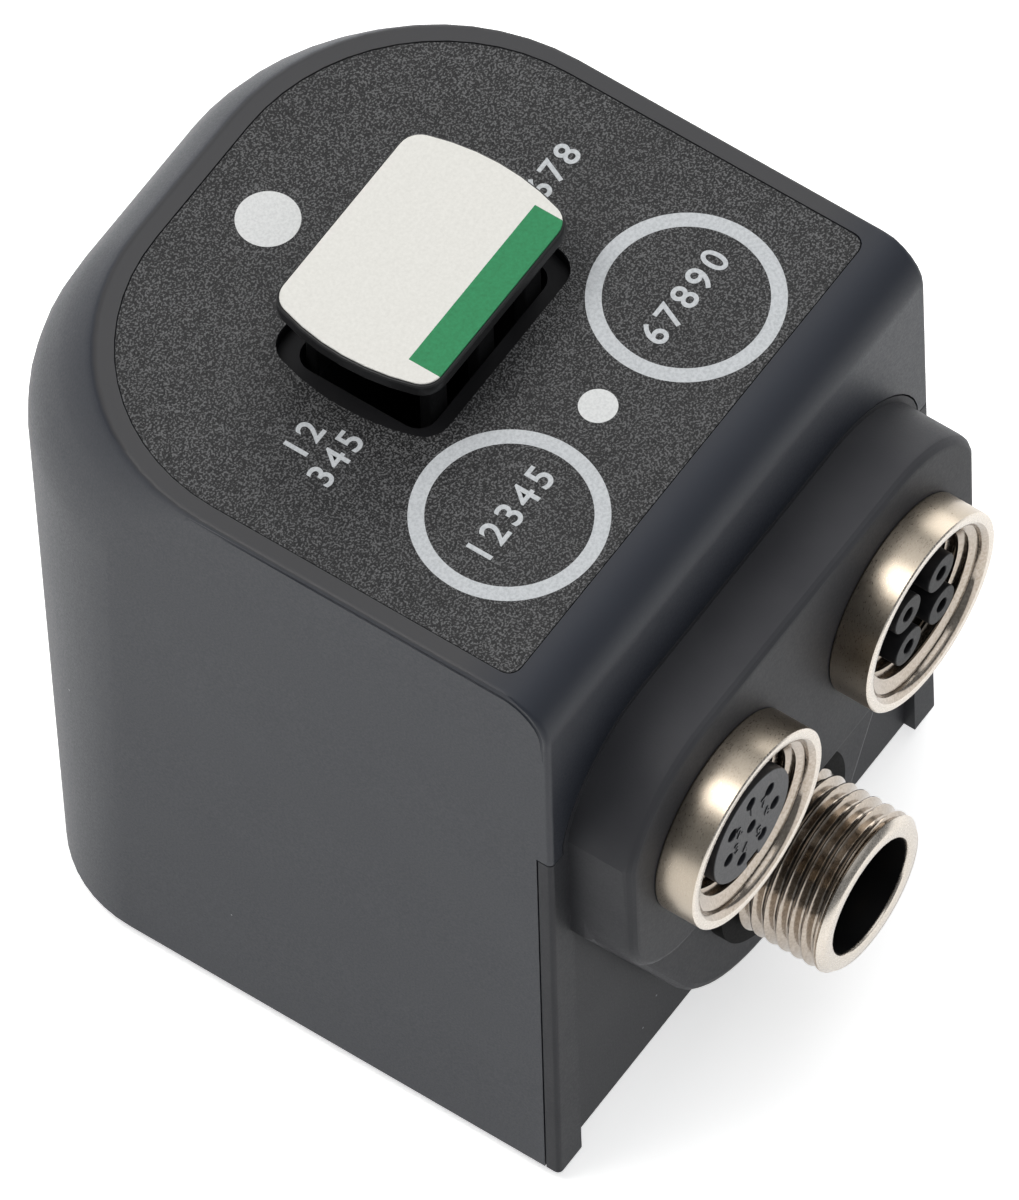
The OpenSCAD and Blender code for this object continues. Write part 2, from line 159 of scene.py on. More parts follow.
# turns a closed profile of (radius, distance) pairs by extruding a ring
def lathe(name, profile, steps=96):
    radius, height = profile[0]
    deselectAll()
    bpy.ops.mesh.primitive_circle_add(vertices=steps, radius=radius * mm,
                                      location=(0, 0, height * mm))
    piece = bpy.context.object
    piece.name = piece.data.name = name
    bpy.ops.object.transform_apply(location=True)
    editMode(piece)
    for nextRadius, nextHeight in profile[1:] + profile[:1]:
        rise = (0, 0, (nextHeight - height) * mm)
        bpy.ops.mesh.extrude_region_move(TRANSFORM_OT_translate={"value": rise})
        scale = nextRadius / radius
        bpy.ops.transform.resize(value=(scale, scale, 1), center_override=(0, 0, nextHeight * mm))
        radius, height = nextRadius, nextHeight
    bpy.ops.mesh.select_all(action="SELECT")
    bpy.ops.mesh.remove_doubles(threshold=bench["latheMerge"] * mm)
    bpy.ops.mesh.normals_make_consistent(inside=False)
    objectMode()
    return piece


thread = {
    "tooth": (0, 0.1, 0.44, 0.56, 0.9, 1),   # shares of the pitch where the tooth bends
    "spareTurns": 3,        # turns that are cut off again
    "below": 1.53,          # turns that lie under the lower end
    "steps": 56,            # faces around
    "cut": 0.0001,          # mm
}


# a solid rod with a rolled thread, cut square at both ends
def threadRod(name, crest, root, pitch, low, high):
    turns = math.ceil((high - low) / pitch) + thread["spareTurns"]
    start = low - thread["below"] * pitch
    flank = list(zip((root, root, crest, crest, root, root), thread["tooth"]))
    deselectAll()
    bpy.ops.mesh.primitive_circle_add(vertices=len(flank), radius=root * mm)
    piece = bpy.context.object
    piece.name = piece.data.name = name
    for vertex, (radius, part) in zip(piece.data.vertices, flank):
        vertex.co = (radius * mm, 0, (start + part * pitch) * mm)
    editMode(piece, "DESELECT")
    objectMode()
    piece.data.vertices[0].select = True
    piece.data.vertices[len(flank) - 1].select = True
    for edge in piece.data.edges:
        edge.select = set(edge.vertices) == {0, len(flank) - 1}
    bpy.ops.object.mode_set(mode="EDIT")
    bpy.ops.mesh.select_mode(type="EDGE")
    bpy.ops.mesh.delete(type="EDGE")  # the ring is opened into one tooth of the thread
    objectMode()
    addModifier(piece, "SCREW", axis="Z", angle=math.tau, screw_offset=pitch * mm, iterations=turns,
                steps=thread["steps"], render_steps=thread["steps"], use_merge_vertices=False)
    applyModifiers(piece)
    editMode(piece)
    bpy.ops.mesh.remove_doubles(threshold=bench["merge"] * mm)
    for height, outside in ((low, "clear_inner"), (high, "clear_outer")):
        bpy.ops.mesh.select_all(action="SELECT")
        bpy.ops.mesh.bisect(plane_co=(0, 0, height * mm), plane_no=(0, 0, 1), use_fill=True,
                            threshold=thread["cut"] * mm, **{outside: True})
    bpy.ops.mesh.select_all(action="SELECT")
    bpy.ops.mesh.normals_make_consistent(inside=False)
    objectMode()
    return piece


def carve(piece, tool):  # takes the tool's shape out of the piece and throws the tool away
    addModifier(piece, "BOOLEAN", object=tool, operation="DIFFERENCE", solver="EXACT")
    applyModifiers(piece)
    bpy.data.objects.remove(tool)
    editMode(piece)
    bpy.ops.mesh.dissolve_degenerate(threshold=bench["merge"] * mm)
    objectMode()


# Finishes

firstColour, secondColour, mixedColour = 6, 7, 2    # sockets of a Mix node that mixes colours


def shaderOf(material):
    return material.node_tree.nodes["Principled BSDF"]


def finish(name, colour, roughness, metallic=0.0, specular=0.5):
    material = bpy.data.materials.new(name)
    material.use_nodes = True
    shader = shaderOf(material)
    shader.inputs["Base Color"].default_value = (*colour, 1)
    shader.inputs["Roughness"].default_value = roughness
    shader.inputs["Metallic"].default_value = metallic
    shader.inputs["Specular IOR Level"].default_value = specular
    return material


def addNode(material, kind, **settings):
    node = material.node_tree.nodes.new(kind)
    for key, value in settings.items():
        if key in node.inputs:
            node.inputs[key].default_value = value
        else:
            setattr(node, key, value)
    return node


def join(material, source, output, target, socket):
    material.node_tree.links.new(source.outputs[output], target.inputs[socket])


def place(material, scale=(1, 1, 1)):
    coordinates = addNode(material, "ShaderNodeTexCoord")
    mapping = addNode(material, "ShaderNodeMapping")
    mapping.inputs["Scale"].default_value = scale
    join(material, coordinates, "Object", mapping, "Vector")
    return mapping


# size is one grain, in millimetres
def noise(material, mapping, size, detail=2.0, roughness=0.5):
    texture = addNode(material, "ShaderNodeTexNoise", Scale=1 / (size * mm), Detail=detail,
                      Roughness=roughness)
    join(material, mapping, "Vector", texture, "Vector")
    return texture


# a value stretched over a range
def spread(material, source, low, high, fromLow=0.3, fromHigh=0.7, output=0):
    stretch = addNode(material, "ShaderNodeMapRange")
    stretch.inputs["From Min"].default_value = fromLow
    stretch.inputs["From Max"].default_value = fromHigh
    stretch.inputs["To Min"].default_value = low
    stretch.inputs["To Max"].default_value = high
    join(material, source, output, stretch, "Value")
    return stretch


def paint(material, mix):  # the mixed colour becomes the base colour
    join(material, mix, mixedColour, shaderOf(material), "Base Color")


def sheen(material, texture, low, high):  # the roughness follows a texture
    join(material, spread(material, texture, low, high), 0, shaderOf(material), "Roughness")


def grain(material, height, strength, depth):  # a bump of the given depth, in millimetres
    bump = addNode(material, "ShaderNodeBump", Strength=strength, Distance=depth * mm)
    join(material, height, 0, bump, "Height")
    join(material, bump, "Normal", shaderOf(material), "Normal")


def tint(material, dark, light, factor):  # mixes two colours by a texture
    mix = addNode(material, "ShaderNodeMix", data_type="RGBA")
    mix.inputs[firstColour].default_value = (*dark, 1)
    mix.inputs[secondColour].default_value = (*light, 1)
    join(material, factor, 0, mix, 0)
    return mix


def both(material, first, second):  # true where the two tests are
    product = addNode(material, "ShaderNodeMath", operation="MULTIPLY")
    join(material, first, 0, product, 0)
    join(material, second, 0, product, 1)
    return product


dustLook = {
    "size": 0.055,          # a speck's radius, as a share of the spacing
    "tone": (0.3, 0.31, 0.33),
}


# a few pale specks that settled on the plastic
def dust(material, base, mapping, amount, spacing):
    cells = addNode(material, "ShaderNodeTexVoronoi", Scale=1 / (spacing * mm))
    join(material, mapping, "Vector", cells, "Vector")
    speck = addNode(material, "ShaderNodeMath", operation="LESS_THAN")
    speck.inputs[1].default_value = dustLook["size"]
    join(material, cells, "Distance", speck, 0)
    chance = addNode(material, "ShaderNodeSeparateColor")
    join(material, cells, "Color", chance, "Color")
    few = addNode(material, "ShaderNodeMath", operation="LESS_THAN")
    few.inputs[1].default_value = amount
    join(material, chance, "Red", few, 0)
    mix = addNode(material, "ShaderNodeMix", data_type="RGBA")
    mix.inputs[secondColour].default_value = (*dustLook["tone"], 1)
    join(material, both(material, speck, few), 0, mix, 0)
    join(material, base, mixedColour, mix, firstColour)
    paint(material, mix)


plastics = {
    "grain": 0.16,          # mm, size of the spark-eroded grain
    "cloud": 9,             # mm, size of the slow tone changes
    "housing": ((0.0235, 0.0270, 0.0375), (0.0280, 0.0320, 0.0425)),
    "front": ((0.0440, 0.0445, 0.0500), (0.0600, 0.0605, 0.0660)),
    "cap": ((0.012, 0.012, 0.013), (0.017, 0.017, 0.018)),
    "carrier": ((0.022, 0.023, 0.028), (0.034, 0.035, 0.042)),
    "rubber": ((0.004, 0.004, 0.004), (0.006, 0.006, 0.006)),
    # painted shade: near-black tone for the seat and well under the cap
    "seat": ((0.010, 0.010, 0.011), (0.014, 0.014, 0.016)),
    "lobe": ((0.010, 0.010, 0.011), (0.014, 0.014, 0.016)),
    "cup": ((0.004, 0.004, 0.004), (0.006, 0.006, 0.007)),
}


def plastic(name, tones, roughness, depth=0.006, specks=0.0, spacing=1.6, gloss=0.3):
    material = finish(name, tones[0], roughness, specular=gloss)
    mapping = place(material)
    clouds = noise(material, mapping, plastics["cloud"], detail=4)
    base = tint(material, tones[0], tones[1], spread(material, clouds, 0, 1))
    if specks:
        dust(material, base, mapping, specks, spacing)
    else:
        paint(material, base)
    fine = noise(material, mapping, plastics["grain"], detail=3, roughness=0.6)
    grain(material, fine, 0.55, depth)
    sheen(material, fine, roughness - 0.06, roughness + 0.08)
    return material


# painted highlight: a paler tone on the flat top of the rim, standing in for light falling on it
rimHighlightLook = {
    "tone": (0.052, 0.052, 0.055),
    "low": 56.72, "high": 56.92,        # mm, the heights between which it fades in
    "front": -22.5, "back": -17.5,      # mm, and the same along Y
}


def paintRimHighlight(material):  # painted highlight: the flat rim round the film is painted paler, as if lit from above, up to where it runs into the nose
    painted = shaderOf(material).inputs["Base Color"].links[0].from_socket
    parts = addNode(material, "ShaderNodeSeparateXYZ")
    join(material, place(material), "Vector", parts, 0)
    high = spread(material, parts, 0, 1, rimHighlightLook["low"] * mm, rimHighlightLook["high"] * mm, output="Z")
    behind = spread(material, parts, 0, 1, rimHighlightLook["front"] * mm, rimHighlightLook["back"] * mm, output="Y")
    mix = addNode(material, "ShaderNodeMix", data_type="RGBA")
    mix.inputs[secondColour].default_value = (*rimHighlightLook["tone"], 1)
    join(material, both(material, high, behind), 0, mix, 0)
    material.node_tree.links.new(painted, mix.inputs[firstColour])
    paint(material, mix)


filmLook = {
    # the light tone is painted highlight: the glint the relief of the grain would catch
    "dark": (0.010, 0.010, 0.011), "light": (0.112, 0.113, 0.116),
    "fleck": 0.145,                     # mm
    "contrast": (0.49, 0.62),           # noise values of the dark ground and of the pale flecks, which are painted highlights on the grain
    "cloud": 7, "shade": (0.88, 1.1),   # mm and strength of the slow tone changes
    "gloss": 0.32, "roughness": (0.3, 0.5), "relief": 0.09,
    "dust": 0.02, "dustSpacing": 1.1,   # share of places with a speck, and mm
}


def filmWithPaintedGlints():  # screen-printed film with an embossed grain of short flecks; the pale flecks in its colour are painted highlights on the relief
    material = finish("embossedFilmPaintedGlints", filmLook["light"], filmLook["roughness"][1],
                      specular=filmLook["gloss"])
    mapping = place(material)
    flecks = noise(material, mapping, filmLook["fleck"], detail=1.5)
    clouds = noise(material, mapping, filmLook["cloud"], detail=3)
    # painted highlights: pale flecks on the dark film where the relief would catch the light
    base = tint(material, filmLook["dark"], filmLook["light"],
                spread(material, flecks, 0, 1, *filmLook["contrast"]))
    slow = addNode(material, "ShaderNodeMix", data_type="RGBA", blend_type="MULTIPLY")
    slow.inputs[0].default_value = 1
    join(material, base, mixedColour, slow, firstColour)
    shade = spread(material, clouds, *filmLook["shade"])
    join(material, shade, 0, slow, secondColour)
    dust(material, slow, mapping, filmLook["dust"], filmLook["dustSpacing"])
    grain(material, flecks, 1.0, filmLook["relief"])
    sheen(material, flecks, *filmLook["roughness"])
    return material


prints = {                              # the mottle in mm, then the dark and light tones
    "fleck": 0.22, "contrast": (0.35, 0.6), "roughness": 0.55, "relief": 0.02,
    "ringInk": ((0.44, 0.46, 0.48), (0.56, 0.58, 0.60)),
    "lampLens": ((0.60, 0.61, 0.61), (0.70, 0.71, 0.71)),
    "boardGreen": ((0.010, 0.060, 0.026), (0.016, 0.085, 0.036)),
    "linkPlastic": ((0.55, 0.51, 0.42), (0.66, 0.62, 0.52)),
    "lightGuide": ((0.74, 0.76, 0.78), (0.84, 0.86, 0.88)),
}


def printFinish(name):  # ink, lamp window or lacquer with a fine mottle
    dark, light = prints[name]
    material = finish(name, light, prints["roughness"])
    mapping = place(material)
    flecks = noise(material, mapping, prints["fleck"], detail=3, roughness=0.65)
    base = tint(material, dark, light, spread(material, flecks, 0, 1, *prints["contrast"]))
    paint(material, base)
    grain(material, flecks, 0.5, prints["relief"])
    return material


metals = {
    "satinNickel": ((0.39, 0.335, 0.27), (0.47, 0.41, 0.335)),
    "rimNickel": ((0.54, 0.49, 0.43), (0.64, 0.59, 0.53)),
    "threadNickel": ((0.30, 0.25, 0.20), (0.46, 0.41, 0.36)),
    "turnedSteel": ((0.46, 0.46, 0.47), (0.60, 0.60, 0.61)),
    "contactGold": ((0.66, 0.48, 0.20), (0.80, 0.60, 0.28)),
    "canSteel": ((0.40, 0.40, 0.42), (0.52, 0.52, 0.54)),
}


def metal(name, roughness, brushing=(1, 1, 1), size=0.3, depth=0.003):
    dark, light = metals[name]
    material = finish(name, light, roughness, metallic=1.0)
    mapping = place(material, brushing)
    streaks = noise(material, mapping, size, detail=4, roughness=0.6)
    base = tint(material, dark, light, spread(material, streaks, 0, 1))
    paint(material, base)
    sheen(material, streaks, roughness - 0.06, roughness + 0.08)
    grain(material, streaks, 0.5, depth)
    return material


housingPlastic = plastic("housingPlastic", plastics["housing"], 0.46, specks=0.02)
# painted highlight on the flat rim
paintRimHighlight(housingPlastic)
frontPlastic = plastic("frontPlastic", plastics["front"], 0.52, specks=0.03, gloss=0.14,
                       depth=0.016)
capPlastic = plastic("capPlastic", plastics["cap"], 0.36, depth=0.004)
seatShadePlastic = plastic("seatShadePlastic", plastics["seat"], 0.45, gloss=0.15)
lobePlastic = plastic("lobePlastic", plastics["lobe"], 0.4, gloss=0.12)
cupPlastic = plastic("cupPlastic", plastics["cup"], 0.4, gloss=0.2)
carrierPlastic = plastic("carrierPlastic", plastics["carrier"], 0.42, gloss=0.35)
rubber = plastic("rubber", plastics["rubber"], 0.7, gloss=0.08)
film = filmWithPaintedGlints()
ringInk = printFinish("ringInk")
lampLens = printFinish("lampLens")
satinNickel = metal("satinNickel", 0.31, brushing=(1, 3, 1), size=0.22, depth=0.002)
rimNickel = metal("rimNickel", 0.26, size=0.15, depth=0.002)
threadNickel = metal("threadNickel", 0.16, size=0.2)
turnedSteel = metal("turnedSteel", 0.32, brushing=(1, 1, 8), size=0.4)
contactGold = metal("contactGold", 0.25)
canSteel = metal("canSteel", 0.35)
boardGreen = printFinish("boardGreen")
linkPlastic = printFinish("linkPlastic")
lightGuide = printFinish("lightGuide")
print("finishes mixed")


# Housing and front moulding

mouldings = {               # edges in mm, creases in degrees
    "housing": {"node": "housing", "edge": 0.14, "crease": 32},
    "front": {"node": "front_plate", "edge": 0.18, "crease": 15},
}
lip = {
    "line": 56.42,          # mm, height of the fine line under the rim
    "wall": 21.81,          # mm, half the width of the straight sides there
    "front": edgeOf("housing", "y", min), "top": edgeOf("housing", "z", max),
    "round": 3.7,           # mm, the side face's corner over the nose
    "inset": 0.5,           # mm, how far inside that corner the line runs
    "radius": 0.2,          # mm, of the rod that carves the line
    "held": 0.06, "leaving": 0.17, "free": 0.24,    # mm, the rod's middle outside the wall
    "drift": 0.10,          # mm that it moves out by the corner's end
    "straight": (-6, -14),  # mm along Y
    "rear": 4.0, "low": 52.9,   # mm, where the line runs out
    "runOut": (6, 1.5),     # mm, at the rear and at the front
    "turns": 6,             # degrees between points round the corner
    "leaves": 50,           # degrees into the corner where the rod starts to leave
}
capSeatShade = {                 # mm, faces in this box get a near-black plastic, painted shade of the well under the cap
    "halfWidth": 9.5, "halfDepth": 6.8, "low": 33.9, "high": 56.5,
}


# a thin round rod that follows the rim of one side face and leaves it at both ends
def lipLine(side):
    centreY, centreZ = lip["front"] + lip["round"], lip["top"] - lip["round"]
    reach = lip["round"] - lip["inset"]
    path = [(lip["rear"] + lip["runOut"][0], lip["line"], lip["free"]),
            (lip["rear"], lip["line"], lip["leaving"])]
    path += [(y, lip["line"], lip["held"]) for y in lip["straight"]]
    for turn in range(0, 91, lip["turns"]):
        angle = math.radians(turn)
        z = centreZ + reach * math.cos(angle) + lip["line"] - lip["top"] + lip["inset"]
        outside = lip["held"] + lip["drift"] * max(turn - lip["leaves"], 0) / (90 - lip["leaves"])
        path.append((centreY - reach * math.sin(angle), z, outside))
    path.append((centreY - reach, lip["low"] - lip["runOut"][1], lip["free"]))
    curve = bpy.data.curves.new("lipLine", "CURVE")
    curve.dimensions = "3D"
    curve.bevel_depth = lip["radius"] * mm
    curve.bevel_resolution = 2
    curve.use_fill_caps = True
    line = curve.splines.new("POLY")
    line.points.add(len(path) - 1)
    for point, (y, z, outside) in zip(line.points, path):
        point.co = (side * (lip["wall"] + outside) * mm, y * mm, z * mm, 1)
    tool = bpy.data.objects.new("lipLine", curve)
    bpy.context.scene.collection.objects.link(tool)
    activate(tool)
    bpy.ops.object.convert(target="MESH")
    return bpy.context.object


housingShell = copyOfNode(mouldings["housing"]["node"], "housingShell")
for side in (-1, 1):
    carve(housingShell, lipLine(side))
softenEdges(housingShell, mouldings["housing"]["edge"], mouldings["housing"]["crease"])
seat(housingShell, housingPlastic, stands=["housing"])
# painted shade: faces of the cap's seat and well take a near-black plastic
housingShell.data.materials.append(seatShadePlastic)
for face in housingShell.data.polygons:
    x, y, z = abs(face.center.x) / mm, abs(face.center.y) / mm, face.center.z / mm
    inPlan = x < capSeatShade["halfWidth"] and y < capSeatShade["halfDepth"]
    if inPlan and capSeatShade["low"] < z < capSeatShade["high"]:
        face.material_index = 1

frontMoulding = copyOfNode(mouldings["front"]["node"], "frontMoulding")
softenEdges(frontMoulding, mouldings["front"]["edge"], mouldings["front"]["crease"])
seat(frontMoulding, frontPlastic, stands=["front_plate"])
print("housing and front moulding smoothed")


# Round connectors, in millimetres along the way out of the front

socket = {
    "x": middleOf("socket_shell_right", "x"), "z": middleOf("socket_shell_right", "z"),
    "back": -edgeOf("socket_shell_right", "y", max),
    "front": -edgeOf("socket_shell_right", "y", min),
    "face": -edgeOf("front_plate", "y", min),
    "neck": 6.4, "barrel": 7.5, "mouth": 6.8, "step": 6.4,
    "inside": 5.1,          # the wall's inner radius before the thread is cut
    "bore": 5.45, "crest": 6.02, "pitch": 1.0, "lead": 5.6,
    "edge": 0.04, "crease": 36,
}
plug = {
    "z": middleOf("plug_shell", "z"),
    "back": -edgeOf("plug_shell", "y", max), "front": -edgeOf("plug_shell", "y", min),
    "seal": -edgeOf("plug_seal", "y", min),
    "crest": 5.98, "root": 5.4, "core": 4.9, "bore": 4.4, "neck": 5.5,
    "collar": 0.55, "chamfer": 0.45, "pitch": 1.0,
    "drill": 20,            # length of the cylinder that bores the threaded rod
    "cup": 34.3,            # the black cup inside the bore ends here
    "edge": 0.035, "crease": 36,
}


def paintFaces(piece, material, isInside):  # a second finish on the faces that pass a test
    piece.data.materials.append(material)
    index = len(piece.data.materials) - 1
    for face in piece.data.polygons:
        if isInside(face):
            face.material_index = index


def radiusOf(face, x, z):
    return math.hypot(face.center.x / mm - x, face.center.z / mm - z)


def makeSocket(name, side, node):
    back, face, front = socket["back"], socket["face"], socket["front"]
    barrelRadius, mouth, stepRadius = socket["barrel"], socket["mouth"], socket["step"]
    barrel = lathe(name, [
        (socket["inside"], back), (socket["neck"], back), (socket["neck"], face),
        (barrelRadius - 0.1, face), (barrelRadius, face + 0.12),
        (barrelRadius, front - 0.1), (barrelRadius - 0.1, front),   # the broken outer edge
        (mouth, front), (stepRadius + 0.1, front - 0.2),
        (stepRadius, front - 0.35), (stepRadius, front - 0.65),     # the step inside the mouth
        (socket["crest"] + 0.1, front - 0.72),
        (socket["lead"], front - 0.95), (socket["inside"], front - 1.0),   # where the thread starts
    ])
    carve(barrel, threadRod("threadCutter", socket["crest"], socket["bore"], socket["pitch"],
                            back - 1, front + 1))
    middle = (side * socket["x"], socket["z"])
    barrel.data.transform(towardsFront(*middle))
    softenEdges(barrel, socket["edge"], socket["crease"])
    seat(barrel, satinNickel, stands=[node])
    paintFaces(barrel, rimNickel, lambda face: -face.center.y / mm > front - 0.06)
    paintFaces(barrel, threadNickel, lambda face: radiusOf(face, *middle) < mouth - 0.1)


makeSocket("socketBarrelLeft", -1, "socket_shell_left")
makeSocket("socketBarrelRight", 1, "socket_shell_right")

collarBack = plug["front"] - plug["collar"]
plugThread = threadRod("plugThread", plug["crest"], plug["root"], plug["pitch"], plug["seal"],
                       collarBack)
deselectAll()
bpy.ops.mesh.primitive_cylinder_add(vertices=96, radius=plug["core"] * mm, depth=plug["drill"] * mm,
                                    location=(0, 0, plug["front"] * mm))
carve(plugThread, bpy.context.object)
plugTube = lathe("plugTube", [
    (plug["bore"], plug["back"]), (plug["neck"], plug["back"]), (plug["neck"], plug["seal"] + 0.2),
    (plug["root"] - 0.1, plug["seal"] + 0.3), (plug["root"] - 0.1, collarBack - 0.3),
    (plug["crest"] - 0.1, collarBack - 0.05), (plug["crest"] - 0.02, collarBack + 0.08),
    (plug["crest"] - plug["chamfer"] + 0.05, plug["front"] - 0.06),
    (plug["crest"] - plug["chamfer"] - 0.05, plug["front"]), (plug["bore"] + 0.3, plug["front"]),
    (plug["bore"] + 0.08, plug["front"] - 0.1), (plug["bore"], plug["front"] - 0.3),
])
deselectAll()
plugThread.select_set(True)
plugTube.select_set(True)
bpy.context.view_layer.objects.active = plugTube
bpy.ops.object.join()
plugTube.data.transform(towardsFront(0, plug["z"]))
softenEdges(plugTube, plug["edge"], plug["crease"])
seat(plugTube, threadNickel, stands=["plug_shell"])
paintFaces(plugTube, rimNickel, lambda face: -face.center.y / mm > collarBack)
paintFaces(plugTube, cupPlastic, lambda face: radiusOf(face, 0, plug["z"]) < plug["bore"] + 0.02
           and -face.center.y / mm < plug["cup"])

inserts = {
    "carrierLeft": {"node": "socket_insert_left", "edge": 0.08, "finish": carrierPlastic},
    "carrierRight": {"node": "socket_insert_right", "edge": 0.2, "finish": lobePlastic},
    "carrierPlug": {"node": "plug_insert", "edge": 0.08, "finish": cupPlastic},
}
for name, insert in inserts.items():
    carrier = copyOfNode(insert["node"], name)
    softenEdges(carrier, insert["edge"])
    seat(carrier, insert["finish"], stands=[insert["node"]])
print("connectors turned")


# Cap and its label

cap = {"edge": 0.18, "segments": 3}

capPlate = copyOfNode("cap", "capPlate")
softenEdges(capPlate, cap["edge"], segments=cap["segments"])
seat(capPlate, capPlastic, body="cap", stands=["cap"])

label = {
    "edge": 0.06,
    "fleck": 0.25, "roughness": 0.42, "relief": 0.012,
    "paper": ((0.70, 0.69, 0.65), (0.77, 0.76, 0.72)),
    "band": ((0.005, 0.185, 0.060), (0.012, 0.250, 0.090)),
    "bandEdge": -3.8,       # mm along Y where the green band starts
    "bandEnds": (-6.9, 7.6),    # mm along X
}


def labelFinish():
    material = finish("labelPaper", label["paper"][1], label["roughness"])
    mapping = place(material)
    flecks = noise(material, mapping, label["fleck"], detail=3, roughness=0.65)
    shade = spread(material, flecks, 0, 1)
    paper = tint(material, *label["paper"], shade)
    band = tint(material, *label["band"], shade)
    parts = addNode(material, "ShaderNodeSeparateXYZ")
    join(material, mapping, "Vector", parts, 0)
    inBand = None
    left, right = label["bandEnds"]
    limits = (("Y", "LESS_THAN", label["bandEdge"]), ("X", "GREATER_THAN", left),
              ("X", "LESS_THAN", right))
    for axis, comparison, limit in limits:
        test = addNode(material, "ShaderNodeMath", operation=comparison)
        test.inputs[1].default_value = limit * mm
        join(material, parts, axis, test, 0)
        inBand = both(material, inBand, test) if inBand else test
    mix = addNode(material, "ShaderNodeMix", data_type="RGBA")
    join(material, inBand, 0, mix, 0)
    join(material, paper, mixedColour, mix, firstColour)
    join(material, band, mixedColour, mix, secondColour)
    paint(material, mix)
    grain(material, flecks, 0.4, label["relief"])
    return material


capLabel = copyOfNode("cap_label", "capLabel")
softenEdges(capLabel, label["edge"])
seat(capLabel, labelFinish(), body="cap", stands=["cap_label"])
print("cap and label made")


# Printed numerals on the film and beside the contacts

numerals = {
    "filmTop": edgeOf("keypad_foil", "z", max),
    "thickness": 0.02,
    "spacing": 1.26,        # of the letters, as a share of the font's own
    "weight": 0.035,        # mm added round each stroke
    "merge": 0.0005,
    "marks": [
        {"name": "keyMarkLeft", "text": "12345", "size": 2.75, "at": (-10.15, -14.0)},
        {"name": "keyMarkRight", "text": "67890", "size": 2.75, "at": (10.15, -13.9)},
        {"name": "sideMarkUpper", "text": "12", "size": 2.6, "at": (-12.9, 0.5)},
        {"name": "sideMarkLower", "text": "345", "size": 2.6, "at": (-12.9, -2.1)},
        {"name": "sideMarkRight", "text": "678", "size": 2.6, "at": (13.5, -1.1)},
    ],
}
contactMarks = {
    "face": -edgeOf("socket_insert_left", "y", min),
    "count": 7, "first": 90,    # degrees
    "ring": 1.8, "size": 1.3, "height": 0.07, "weight": 0.018, "sunk": 0.005,
}


# a flat figure centred on the origin
def makeNumeral(name, text, size, thickness, weight=numerals["weight"]):
    deselectAll()
    bpy.ops.object.text_add()
    letter = bpy.context.object
    letter.data.body = text
    letter.data.size = size * mm
    letter.data.align_x = "CENTER"
    letter.data.align_y = "CENTER"
    letter.data.space_character = numerals["spacing"]
    letter.data.offset = weight * mm
    letter.data.extrude = thickness / 2 * mm
    letter.data.resolution_u = 6
    bpy.ops.object.convert(target="MESH")
    figure = bpy.context.object
    figure.name = figure.data.name = name
    editMode(figure)
    bpy.ops.mesh.remove_doubles(threshold=numerals["merge"] * mm)
    bpy.ops.mesh.normals_make_consistent(inside=False)
    objectMode()
    return figure


for mark in numerals["marks"]:
    figure = makeNumeral(mark["name"], mark["text"], mark["size"], numerals["thickness"])
    height = numerals["filmTop"] + numerals["thickness"] / 2
    figure.data.transform(Matrix.Translation(Vector((*mark["at"], height)) * mm))
    seat(figure, ringInk)

for index in range(contactMarks["count"]):  # small raised figures beside the left socket's contacts
    angle = math.radians(contactMarks["first"] + index * 360 / contactMarks["count"])
    figure = makeNumeral(f"contactMark{index + 1}", str(index + 1), contactMarks["size"],
                         contactMarks["height"], weight=contactMarks["weight"])
    spot = (contactMarks["ring"] * math.cos(angle), contactMarks["ring"] * math.sin(angle),
            contactMarks["face"] + contactMarks["height"] / 2 - contactMarks["sunk"])
    figure.data.transform(Matrix.Translation(Vector(spot) * mm))
    figure.data.transform(towardsFront(-socket["x"], socket["z"]))
    seat(figure, carrierPlastic)
print("numerals printed")


# Looks of the nodes that stay as the CAD has them

carried = {
    "keypad_foil": film,
    "key_ring_left": ringInk, "key_ring_right": ringInk,
    "status_window": lampLens, "link_window": lampLens,
    "status_light_guide": lightGuide, "link_light_guide": lightGuide,
    "base_plate": frontPlastic,
    "mounting_sleeve": turnedSteel, "sleeve_seal": rubber, "plug_seal": rubber,
    "touch_board": boardGreen, "main_board": boardGreen, "connector_board": boardGreen,
    "board_link": linkPlastic, "sensor_element": canSteel,
    "socket_contacts_left": contactGold, "socket_contacts_right": contactGold,
    "plug_pins": contactGold,
}
for name, material in carried.items():
    node = nodes[name]
    if not node.material_slots:
        node.data.materials.append(material)
    for holder in node.material_slots:
        holder.material = material
print("carried nodes painted")


# Floor, light and camera

studio = {
    "floorSize": 6.0,
    "floorLevel": -0.00005,     # a hair below the metal foot
    "floorGlow": 0.6,
    "floorTones": ((0.92, 0.92, 0.92), (0.94, 0.94, 0.94)),
    "floorCloud": 40,           # mm
    "skyTone": (0.94, 0.97, 1.0),
    "skyStrength": 0.25,
    "aim": (0, -0.003, 0.03),
    "lamps": [                  # metres and watts
        {"name": "overhead", "at": (-0.24, 0.30, 0.85), "size": 0.4, "power": 3.2,
         "tone": (1, 0.98, 0.95)},
        {"name": "highFront", "at": (0.15, -0.5, 0.85), "size": 1.0, "power": 1.3,
         "tone": (1, 1, 1)},
        {"name": "topBox", "at": (0.15, 0.05, 1.2), "size": 1.3, "power": 5.0,
         "tone": (1, 1, 1)},
        {"name": "rightBox", "at": (0.85, 0.2, 0.4), "size": 0.6, "power": 3.2,
         "tone": (1, 0.99, 0.97)},
    ],
}
camera = {
    "azimuth": -53.398, "elevation": 57.382, "roll": -2.352,    # degrees
    "aim": (0, -3, 30),     # mm, the point that the camera looks past
    "distance": 1651.2,     # mm
    "photoWidth": 1019,     # pixels
    "focal": 24890,         # pixels of the photo
    "aside": (-38.97, -49.30),  # pixels right and down from the photo's middle to the aim
    "sensor": 36,           # mm
    "near": 0.05, "far": 50,
}

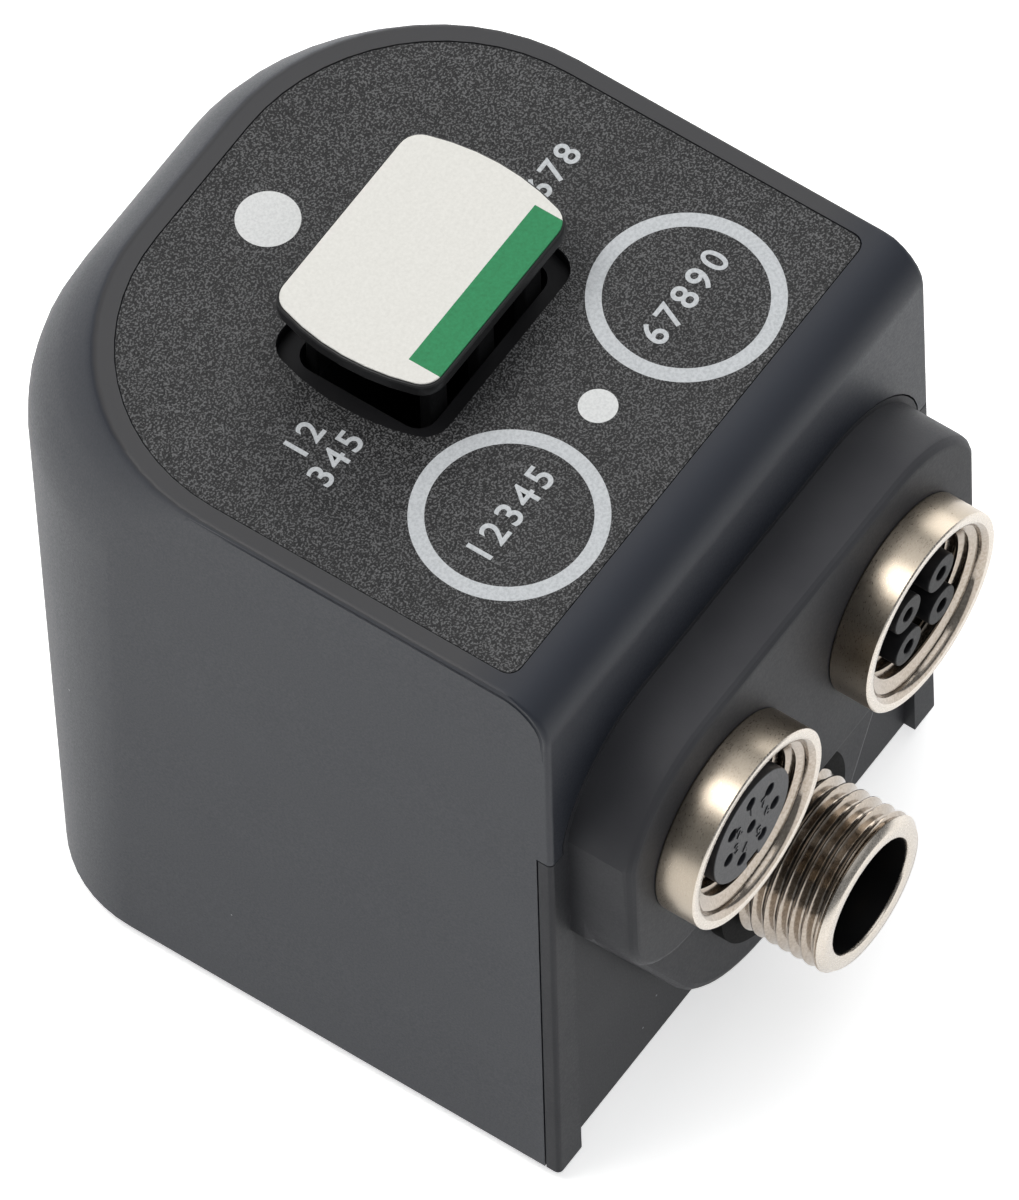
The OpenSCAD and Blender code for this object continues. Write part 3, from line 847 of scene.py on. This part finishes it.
deselectAll()
bpy.ops.mesh.primitive_plane_add(size=studio["floorSize"],
                                 location=(0, 0, studio["floorLevel"]))
floor = bpy.context.object
floor.name = "floor"
floorPaint = finish("floorPaint", studio["floorTones"][1], 0.7)
floorNoise = noise(floorPaint, place(floorPaint), studio["floorCloud"], detail=2)
floorTone = tint(floorPaint, *studio["floorTones"], floorNoise)
paint(floorPaint, floorTone)
shaderOf(floorPaint).inputs["Emission Color"].default_value = (1, 1, 1, 1)
shaderOf(floorPaint).inputs["Emission Strength"].default_value = studio["floorGlow"]
floor.visible_diffuse = False  # the pale floor glows without lighting the front from below
floor.data.materials.append(floorPaint)

sky = bpy.data.worlds.new("studioSky")
sky.use_nodes = True
sky.node_tree.nodes["Background"].inputs["Color"].default_value = (*studio["skyTone"], 1)
sky.node_tree.nodes["Background"].inputs["Strength"].default_value = studio["skyStrength"]
bpy.context.scene.world = sky
bpy.context.scene.view_settings.view_transform = "Standard"

for lamp in studio["lamps"]:
    light = bpy.data.lights.new(lamp["name"], "AREA")
    light.shape = "SQUARE"
    light.size = lamp["size"]
    light.energy = lamp["power"]
    light.color = lamp["tone"]
    holder = bpy.data.objects.new(lamp["name"], light)
    holder.location = lamp["at"]
    towards = Vector(studio["aim"]) - holder.location
    holder.rotation_euler = towards.to_track_quat("-Z", "Y").to_euler()
    bpy.context.scene.collection.objects.link(holder)

azimuth, elevation, roll = (math.radians(camera[key]) for key in ("azimuth", "elevation", "roll"))
back = Vector((math.sin(azimuth) * math.cos(elevation), -math.cos(azimuth) * math.cos(elevation),
               math.sin(elevation)))
right = Vector((math.cos(azimuth), math.sin(azimuth), 0))
up = back.cross(right)
rolledRight = math.cos(roll) * right + math.sin(roll) * up
rolledUp = math.cos(roll) * up - math.sin(roll) * right
pixel = camera["distance"] / camera["focal"]
across, down = camera["aside"]
spot = (Vector(camera["aim"]) + back * camera["distance"] - rolledRight * across * pixel
        + rolledUp * down * pixel) * mm
lens = bpy.data.cameras.new("photoCamera")
lens.sensor_fit = "HORIZONTAL"
lens.sensor_width = camera["sensor"]
lens.lens = camera["sensor"] * camera["focal"] / camera["photoWidth"]
lens.clip_start = camera["near"]
lens.clip_end = camera["far"]
eye = bpy.data.objects.new("photoCamera", lens)
eye.matrix_world = Matrix((
    (rolledRight.x, rolledUp.x, back.x, spot.x),
    (rolledRight.y, rolledUp.y, back.y, spot.y),
    (rolledRight.z, rolledUp.z, back.z, spot.z),
    (0, 0, 0, 1),
))
bpy.context.scene.collection.objects.link(eye)
bpy.context.scene.camera = eye
print("studio set up")
